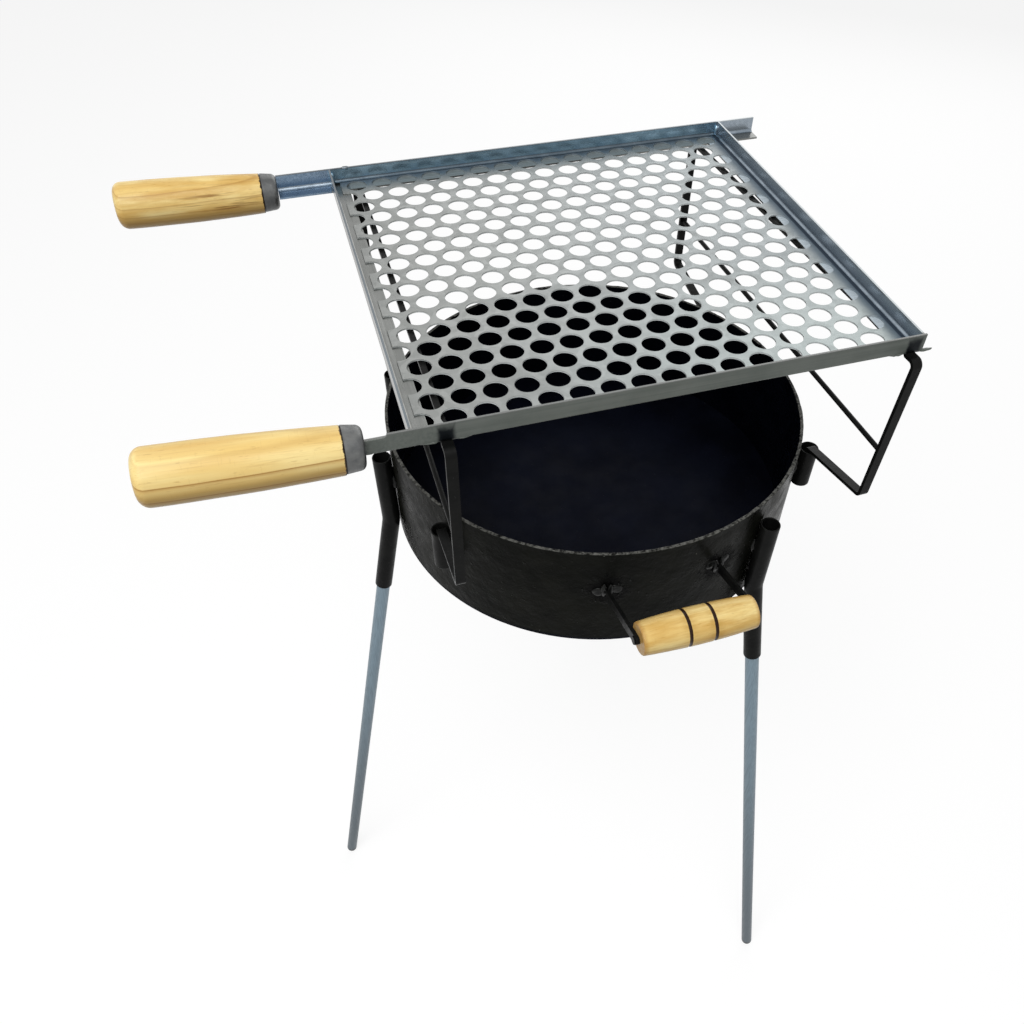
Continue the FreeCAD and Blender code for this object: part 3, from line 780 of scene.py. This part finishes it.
# perforated sheet
def makeGrillSheet():
    plan = {
        "holeRadius": 8.4 * mm,
        "pitch": 21.24 * mm,
        "sides": 24,
        "columns": 16,
        "rowPairs": 9,
        "leftCut": 2.5 * mm,  # first hole's middle from the left edge
        "firstRow": 16.5 * mm,  # from the front edge
        "edgeRound": 0.4 * mm,
    }
    size = sheetHigh - sheetLow
    middle = (sheetHigh + sheetLow) / 2
    rowStep = plan["pitch"] * math.sqrt(0.75)
    cutters = []
    for row in range(2):
        clearSelection()
        bpy.ops.mesh.primitive_cylinder_add(
            vertices=plan["sides"], radius=plan["holeRadius"], depth=4 * size.z,
            location=(sheetLow.x + plan["leftCut"] + row * plan["pitch"] / 2,
                      sheetLow.y + plan["firstRow"] + row * rowStep, middle.z))
        cutter = bpy.context.object
        applyTransform()
        for count, offset in ((plan["columns"], (plan["pitch"], 0, 0)), (plan["rowPairs"], (0, 2 * rowStep, 0))):
            applyModifier(cutter, "ARRAY", count=count, use_relative_offset=False, use_constant_offset=True,
                          constant_offset_displace=offset)
        cutters.append(cutter)
    wake(cutters[0])
    cutters[1].select_set(True)
    bpy.ops.object.join()
    clearSelection()
    bpy.ops.mesh.primitive_cube_add(size=1, location=middle, scale=size)
    sheet = bpy.context.object
    sheet.name = "grillSheet"
    applyTransform()
    applyModifier(sheet, "BOOLEAN", operation="DIFFERENCE", solver="EXACT", object=cutters[0])
    bpy.data.objects.remove(cutters[0])
    applyModifier(sheet, "BEVEL", width=plan["edgeRound"], segments=2, limit_method="ANGLE",
                  angle_limit=math.radians(50))
    settle(sheet, sheetZinc, "grill", ["grill_sheet"], 30)


# a turned piece goes to its place on a handle's axis
def seat(piece, side, drop):
    face, tilt = handleSetting(side)
    piece.rotation_euler = (0, math.radians(tilt), 0)
    piece.location = face - Vector((0, 0, drop))


# turned wooden handles
def makeHandle(side):
    plan = {
        "reach": {"front": 130 * mm, "back": 126.5 * mm},  # far end from the ferrule's face
        "nearRadius": 15.3 * mm,
        "middleRadius": 17.3 * mm,
        "farRadius": 17.7 * mm,
        "drop": 1.0 * mm,
        "endRound": 7.0 * mm,
        "nearRound": 1.2 * mm,
        "tenon": 13.6 * mm,
        "steps": 72,
        "grain": 30 * mm,
        "lathe": 0.5 * mm,  # how far the turning wanders
    }
    near = -ferruleLength
    far = -plan["reach"][side]
    profile = [(near + 6 * mm, 0), (near + 6 * mm, plan["tenon"]), (near + 0.2 * mm, plan["tenon"])]
    first = near - plan["nearRound"]
    last = far + plan["endRound"]
    profile += arcPoints((first, plan["nearRadius"] - plan["nearRound"]), plan["nearRound"], 0, 90, 4)
    belly = plan["middleRadius"] - (plan["nearRadius"] + plan["farRadius"]) / 2
    for i in range(1, 16):
        share = i / 16
        bulge = 4 * belly * share * (1 - share)
        straight = plan["nearRadius"] + (plan["farRadius"] - plan["nearRadius"]) * share
        profile.append((first + (last - first) * share, straight + bulge))
    profile += arcPoints((last, plan["farRadius"] - plan["endRound"]), plan["endRound"], 90, 180, 8)
    profile += [(far - 0.2 * mm, 5 * mm), (far - 0.3 * mm, 0)]
    piece = turned("woodHandle_" + side, profile, plan["steps"])
    ripple(piece, plan["grain"], plan["lathe"])
    seat(piece, side, plan["drop"])
    settle(piece, handlePine[side], "grill", ["handle_" + side])


# ferrule: a drawn cup with a rounded nose
def makeFerrule(side):
    plan = {
        "noseRadius": 9.8 * mm,
        "shoulderRadius": 14.0 * mm,
        "mouthRadius": 14.9 * mm,
        "nose": 4.4 * mm,  # how far the nose rounds over
        "start": 0.3 * mm,
        "wall": 1.2 * mm,
        "floor": 5.5 * mm,
        "lip": 0.3 * mm,
        "drop": 0.6 * mm,
        "grain": 12 * mm,
        "rough": 0.35 * mm,
        "steps": 64,
    }
    start = plan["start"]
    swell = plan["shoulderRadius"] - plan["noseRadius"]
    profile = [(-start, 0)]
    for i in range(9):
        turn = math.radians(90 * i / 8)
        profile.append((-start - plan["nose"] * (1 - math.cos(turn)), plan["noseRadius"] + swell * math.sin(turn)))
    mouth = plan["mouthRadius"]
    inside = mouth - plan["wall"]
    lip = plan["lip"]
    profile += [(-ferruleLength + lip, mouth), (-ferruleLength, mouth - lip),
                (-ferruleLength, inside), (-start - plan["floor"], inside), (-start - plan["floor"], 0)]
    piece = turned("ferrule_" + side, profile, plan["steps"])
    ripple(piece, plan["grain"], plan["rough"])
    seat(piece, side, plan["drop"])
    settle(piece, ferruleSteel, "grill", ["handle_ferrule_" + side])


# carry grip with its two burnt rings
def makeCarryGrip():
    plan = {
        "endRadius": 12.6 * mm,
        "middleRadius": 14.4 * mm,
        "bore": 2.7 * mm,
        "endRound": 1.6 * mm,
        "ringAt": 10 * mm,
        "ringWidth": 2 * mm,
        "ringDepth": 0.7 * mm,
        "grain": 20 * mm,
        "lathe": 0.3 * mm,
        "steps": 72,
    }
    half = (gripHigh.x - gripLow.x) / 2

    def barrel(x):
        return plan["middleRadius"] - (plan["middleRadius"] - plan["endRadius"]) * (x / half) ** 2

    rim = half - plan["endRound"]
    groove = ((1.25, 0), (1.0, -0.2), (0.7, -1), (0, -1.1), (-0.7, -1), (-1.0, -0.2), (-1.25, 0))  # half widths, depths
    right = [(half, plan["bore"])]
    right += arcPoints((rim, barrel(rim) - plan["endRound"]), plan["endRound"], 0, 90, 5)
    right += [(x * mm, barrel(x * mm)) for x in (36, 28, 20, 14)]
    for offset, depth in groove:
        x = plan["ringAt"] + offset * plan["ringWidth"] / 2
        right.append((x, barrel(x) + depth * plan["ringDepth"]))
    right.append((4 * mm, barrel(0)))
    profile = right + [(-x, radius) for x, radius in reversed(right)] + right[:1]
    piece = turned("woodCarryGrip", profile, plan["steps"])
    ripple(piece, plan["grain"], plan["lathe"])
    piece.location = gripMiddle
    settle(piece, gripPine, "carry_handle", ["carry_grip"])


# pan wall with an uneven sawn rim
def makePanWall():
    plan = {
        "wall": 2.7 * mm,
        "rimRound": 0.7 * mm,
        "rows": 22,
        "steps": 320,
        "dents": (60 * mm, 0.9 * mm),  # grain and strength
        "sawMarks": (6 * mm, 0.55 * mm),
    }
    low = panLow.z
    inner = panRadius - plan["wall"]
    rise = rimZ - plan["rimRound"] - low
    profile = [(low + rise * i / plan["rows"], panRadius) for i in range(plan["rows"])]
    profile += arcPoints((rimZ - plan["rimRound"], panRadius - plan["rimRound"]), plan["rimRound"], 90, 0, 4)
    profile += arcPoints((rimZ - plan["rimRound"], inner + plan["rimRound"]), plan["rimRound"], 0, -90, 4)
    profile += [(low + rise * i / plan["rows"], inner) for i in range(plan["rows"] - 1, -1, -1)]
    profile.append(profile[0])
    piece = turned("panWall", profile, plan["steps"])
    piece.rotation_euler = (0, -math.pi / 2, 0)  # the spin axis goes upright
    piece.location = (panX, 0, 0)
    wake(piece)
    applyTransform()
    ripple(piece, *plan["dents"])
    rimGroup = piece.vertex_groups.new(name="rim")
    rimGroup.add([v.index for v in piece.data.vertices if v.co.z > rimZ - 1.2 * plan["rimRound"]], 1.0, "REPLACE")
    ripple(piece, *plan["sawMarks"], "rim")
    settle(piece, panPaint, "pan", ["pan_wall"])


# the inside bend along a bar, a closed profile drawn out, its colour a painted highlight
def bendStrip(name, start, inward, along, length, leg):
    hollow = arcPoints((leg, leg), leg, 180, 270, 6)
    corners = [start + inward * u + Vector((0, 0, w)) for u, w in hollow + [(leg, -0.25 * mm), (0, -0.25 * mm)]]
    piece = drawLine(name, corners)
    bpy.ops.mesh.edge_face_add()
    bpy.ops.mesh.extrude_region_move(TRANSFORM_OT_translate={"value": along * length})
    selectAll()
    bpy.ops.mesh.normals_make_consistent()
    toObject()
    settle(piece, foldZinc, "grill")


def makeBends():
    plan = {"plate": 1.5 * mm, "leg": 2.2 * mm, "narrowLeg": 1.7 * mm, "lift": 0.3 * mm}
    alongX, alongY = Vector((1, 0, 0)), Vector((0, 1, 0))
    z = sheetHigh.z + plan["lift"]
    plate = plan["plate"]
    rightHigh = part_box("grill_bar_right")[1]
    flangeZ = frontBarLow.z + plate + plan["lift"]
    insideX = leftBarLow.x + plate
    insideY = frontBarLow.y + plate
    width = rightHigh.x - leftBarLow.x - 2 * plate
    depth = backBarHigh.y - frontBarLow.y - 2 * plate
    backY = backBarHigh.y - plate
    neckEnd = handleSetting("back")[0].x
    strips = {
        "bendFront": ((insideX, insideY, z), alongY, alongX, width),
        "bendBack": ((insideX, backY, z), -alongY, alongX, width),
        "bendLeft": ((insideX, insideY, flangeZ), alongX, alongY, depth),
        "bendRight": ((rightHigh.x - plate, insideY, z), -alongX, alongY, depth),
        "bendNeck": ((neckEnd, backY, flangeZ), -alongY, alongX, leftBarLow.x - neckEnd),
        "bendStub": ((rightHigh.x, backY, flangeZ), -alongY, alongX, backBarHigh.x - rightHigh.x),
    }
    for name, (start, inward, along, length) in strips.items():
        leg = plan["narrowLeg"] if name == "bendRight" else plan["leg"]
        bendStrip(name, Vector(start), inward, along, length, leg)


# weld beads: one lump, copied to every groove, then roughened
def lump(name, places, rounds=3):
    clearSelection()
    bpy.ops.mesh.primitive_ico_sphere_add(subdivisions=rounds)
    first = bpy.context.object
    copies = []
    for centre, size, turn in places:
        piece = bpy.data.objects.new(name, first.data.copy())
        bpy.context.scene.collection.objects.link(piece)
        piece.location = centre
        piece.scale = size
        piece.rotation_euler = (0, 0, turn)
        copies.append(piece)
    bpy.data.objects.remove(first)
    wake(copies[0])
    for piece in copies:
        piece.select_set(True)
    bpy.ops.object.join()
    applyTransform()
    bpy.context.object.name = name
    return bpy.context.object


def onWall(angle, z, out=0.0):
    return Vector((panX + (panRadius + out) * math.cos(angle), (panRadius + out) * math.sin(angle), z))


def makePanWelds():
    plan = {
        "tubeBead": Vector((2.2, 2.3, 7.6)) * mm,
        "tubeReach": 5.7 * mm,
        "armBead": Vector((2.2, 2.4, 7.4)) * mm,
        "splat": Vector((5.5, 1.3, 4.4)) * mm,
        "grain": 4.2 * mm,
        "rough": 2.2 * mm,
        "socketDrop": 46 * mm,
        "socketTurn": {"left": 180, "front_right": -60, "back_right": 60},  # degrees about the pan
        "spatter": 90,
    }
    chance = random.Random(11)
    places = []
    spots = []
    tubes = [name for name in nodes if name.startswith(("leg_socket_", "rack_tube_"))]
    for name in tubes:
        low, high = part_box(name)
        middle = (low + high) / 2
        if name.startswith("leg_socket_"):
            angle = math.radians(plan["socketTurn"][name[len("leg_socket_"):]])
            z = rimZ - plan["socketDrop"]
        else:
            angle = math.atan2(middle.y, middle.x - panX)
            z = middle.z
        for way in (1, -1):
            place = angle + way * plan["tubeReach"] / panRadius
            places.append((onWall(place, z, 0.9 * mm), plan["tubeBead"] * chance.uniform(0.85, 1.1), place))
        spots.append((angle, z))
    for root in armRoots():
        angle = math.atan2(root.y, root.x - panX)
        for way in (1, -1):
            side = angle + way * 2.5 * mm / panRadius
            places.append((onWall(side, root.z, 0.8 * mm), plan["armBead"], side))
            ear = angle + way * 6.5 * mm / panRadius
            places.append((onWall(ear, root.z + chance.uniform(-3, 3) * mm, 0), plan["splat"], ear + math.pi / 2))
        spots.append((angle, root.z))
    welds = lump("panWelds", places)
    ripple(welds, plan["grain"], plan["rough"])
    drops = []
    for i in range(plan["spatter"]):
        angle, z = chance.choice(spots + spots[-2:] * 4)
        size = chance.uniform(0.35, 1.0) * mm
        place = angle + chance.gauss(0, 13) * mm / panRadius
        drops.append((onWall(place, z + chance.gauss(0, 9) * mm, 0.1 * mm), Vector((size, size, size)), place))
    spatter = lump("panSpatter", drops, 1)
    settle(welds, weldPaint, "pan", ["pan_welds"], 60)
    settle(spatter, weldPaint, "pan", (), 80)


# small welds where the grill's bars and racks meet
def makeFrameWelds():
    plan = {
        "corner": Vector((2.0, 2.0, 4.6)) * mm,
        "top": Vector((3.6, 1.5, 1.3)) * mm,
        "seam": Vector((7.0, 1.2, 1.0)) * mm,
        "grain": 3 * mm,
        "rough": 1.3 * mm,
    }
    places = []
    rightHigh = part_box("grill_bar_right")[1]
    for x in (leftBarLow.x + 2.2 * mm, rightHigh.x - 2.2 * mm):
        for y in (frontBarLow.y + 2.2 * mm, backBarHigh.y - 2.2 * mm):
            places.append((Vector((x, y, sheetHigh.z + 4 * mm)), plan["corner"], 0))
    onTop = Vector((leftBarLow.x + 14 * mm, backBarHigh.y - 0.8 * mm, backBarHigh.z - 0.5 * mm))
    places.append((onTop, plan["top"], 0))
    for end in ends:
        for way in (1, -1):
            beside = rackFrontX(end) + way * 10 * mm
            places.append((Vector((beside, frontBarLow.y + 1.2 * mm, frontBarLow.z + 0.3 * mm)), plan["seam"], 0))
    welds = lump("frameWelds", places)
    ripple(welds, plan["grain"], plan["rough"])
    settle(welds, frameZinc, "grill", (), 60)


makeGrillSheet()
print("grill sheet punched")
for side in sides:
    makeHandle(side)
    makeFerrule(side)
makeCarryGrip()
print("handles and grip turned")
makeBends()
makePanWall()
makePanWelds()
makeFrameWelds()
print("pan wall and welds made")
softWidths = {  # edge rounding in mm
    0.45: ("rack_left", "rack_right", "carry_arm_left", "carry_arm_right"),
    0.3: ("carry_rod",),
    0.22: ("grill_bar_front", "grill_bar_back", "grill_bar_left", "grill_bar_right"),
    0.35: ("rack_tube_front_left", "rack_tube_front_right", "rack_tube_back_left", "rack_tube_back_right",
           "leg_socket_left", "leg_socket_front_right", "leg_socket_back_right"),
}
reshapes = {"rack_" + end: dressRack(end) for end in ends}
for width, members in softWidths.items():
    for node in members:
        softened(node, width * mm, reshapes.get(node))
print("steel edges rounded")


# floor, light and camera
def addFloor():
    look = {"half": 6.0, "cast": colour(0.24, 0.24, 0.24), "lift": 0.80}
    clearSelection()
    bpy.ops.mesh.primitive_plane_add(size=2 * look["half"])
    floor = bpy.context.object
    floor.name = "floor"
    material = bpy.data.materials.new("paleFloor")
    material.use_nodes = True
    tree = material.node_tree
    tree.nodes.clear()
    matt = put(tree, "ShaderNodeBsdfDiffuse", {"Color": look["cast"]}).outputs[0]
    strength = times(tree, seenDirectly(tree), look["lift"])
    glow = put(tree, "ShaderNodeEmission", {"Color": colour(1, 1, 1), "Strength": strength}).outputs[0]
    both = put(tree, "ShaderNodeAddShader", {0: matt, 1: glow}).outputs[0]
    put(tree, "ShaderNodeOutputMaterial", {"Surface": both})
    floor.data.materials.append(material)


def addLight():
    look = {
        "sky": 0.36,
        "lamps": {
            "softKey": {"power": 58.0, "size": 2.0, "place": (-0.95, -1.15, 2.9)},
            "backSoft": {"power": 22.0, "size": 2.7, "place": (1.5, 2.2, 1.9)},
        },
    }
    world = bpy.data.worlds.new("studio")
    bpy.context.scene.world = world
    world.use_nodes = True
    tree = world.node_tree
    tree.nodes.clear()
    strength = rescale(tree, seenDirectly(tree), 0.0, 1.0, look["sky"], 1.0)
    glow = put(tree, "ShaderNodeBackground", {"Color": colour(1, 1, 1), "Strength": strength}).outputs[0]
    put(tree, "ShaderNodeOutputWorld", {"Surface": glow})
    for name, lamp in look["lamps"].items():
        bpy.ops.object.light_add(type="AREA", location=lamp["place"])
        piece = bpy.context.object
        piece.name = name
        piece.data.energy = lamp["power"]
        piece.data.size = lamp["size"]
        aim = Vector((panX, 0, rimZ)) - piece.location
        piece.rotation_euler = aim.to_track_quat("-Z", "Y").to_euler()


def addCamera():
    view = {
        "fromPan": (-0.22566, -0.57773, 0.49983),  # from the pan's axis at the rim
        "turn": (40.909, -0.910, -17.095),  # degrees
        "lens": 31.714,
        "shift": (-0.0371, 0.0469),
    }
    bpy.ops.object.camera_add(location=Vector((panX, 0, rimZ)) + Vector(view["fromPan"]))
    camera = bpy.context.object
    camera.rotation_euler = [math.radians(angle) for angle in view["turn"]]
    camera.data.lens = view["lens"]
    camera.data.shift_x, camera.data.shift_y = view["shift"]
    camera.data.clip_start = 0.02
    bpy.context.scene.camera = camera


addFloor()
addLight()
addCamera()
bpy.context.scene.view_settings.view_transform = "Standard"
print("stage ready")
